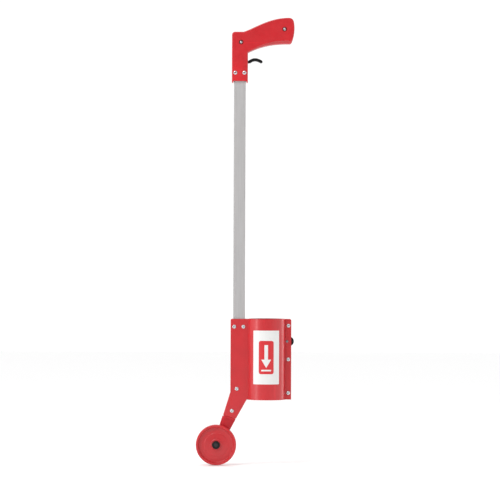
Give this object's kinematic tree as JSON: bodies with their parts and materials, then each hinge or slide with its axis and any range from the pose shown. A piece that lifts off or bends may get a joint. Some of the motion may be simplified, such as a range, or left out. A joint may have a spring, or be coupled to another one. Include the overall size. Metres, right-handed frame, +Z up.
{
  "type": "marking wand",
  "caption": "Hand-held wand with a pistol grip, trigger, square tube, holder for an inverted spray can and one guide wheel.",
  "frame": {"origin": "middle of the pistol grip, on the plane where the two handle shells meet", "axes": "+Z up along the tube, +X from the tube towards the can, -Y towards the label"},
  "size_m": [0.1887, 0.0746, 0.8633],
  "materials": {
    "red_plastic": "moulded, semi-gloss",
    "black_plastic": "moulded, fine texture",
    "tube_aluminium": "satin, extruded",
    "zinc_steel": "bright zinc plated",
    "grey_steel": "plain",
    "spring_steel": "drawn wire",
    "white_nylon": "moulded",
    "label_vinyl": "printed film"
  },
  "bodies": {
    "wand": {"handle_front_shell": "red_plastic", "handle_rear_shell": "red_plastic", "housing_front_shell": "red_plastic", "housing_rear_shell": "red_plastic", "wheel_arm": "red_plastic", "shaft_tube": "tube_aluminium", "handle_screw_elbow": "zinc_steel", "handle_screw_grip": "zinc_steel", "sleeve_rivet_left": "zinc_steel", "sleeve_rivet_right": "zinc_steel", "spine_rivet_left": "zinc_steel", "spine_rivet_right": "zinc_steel", "elbow_rivet": "zinc_steel", "leg_rivet": "zinc_steel", "flange_rivet_1": "zinc_steel", "flange_rivet_2": "zinc_steel", "flange_rivet_3": "zinc_steel", "axle_bolt": "zinc_steel", "axle_washer_front": "zinc_steel", "axle_washer_middle": "zinc_steel", "axle_washer_rear": "zinc_steel", "axle_nut": "zinc_steel", "trigger_pin": "grey_steel", "cam_pin": "grey_steel", "rod_spring": "spring_steel", "upper_rod_guide": "white_nylon", "lower_rod_guide": "white_nylon", "can_label": "label_vinyl"},
    "trigger": {"trigger": "black_plastic"},
    "rod": {"pull_rod": "zinc_steel", "spring_collar": "grey_steel"},
    "lever": {"actuator_lever": "black_plastic"},
    "wheel": {"wheel": "red_plastic", "wheel_bush": "white_nylon", "hub_cap": "black_plastic"},
    "cam": {"cam_lock": "black_plastic"}
  },
  "joints": [
    {"name": "trigger_pull", "type": "hinge", "parent": "wand", "child": "trigger", "pos_m": [-0.0636, 0, -0.058], "axis": [0, -1, 0], "range_deg": [0, 12]},
    {"name": "rod_slide", "type": "slide", "parent": "wand", "child": "rod", "axis": [0, 0, 1], "range_m": [0, 0.00172], "stiffness_N_per_m": 2100, "springref_m": -0.005, "deforming": ["rod_spring"]},
    {"name": "lever_turn", "type": "hinge", "parent": "wand", "child": "lever", "pos_m": [-0.0636, 0, -0.689], "axis": [0, -1, 0], "range_deg": [0, 12]},
    {"name": "wheel_spin", "type": "hinge", "parent": "wand", "child": "wheel", "pos_m": [-0.1034, 0, -0.798], "axis": [0, 1, 0], "continuous": true},
    {"name": "cam_turn", "type": "hinge", "parent": "wand", "child": "cam", "pos_m": [0.033, 0, -0.5976], "axis": [0, 1, 0], "range_deg": [0, 90]}
  ],
  "couplings": [
    {"joint": "trigger_pull", "follows": "rod_slide", "rad_per_m": 121.95},
    {"joint": "lever_turn", "follows": "rod_slide", "rad_per_m": 121.95}
  ]
}
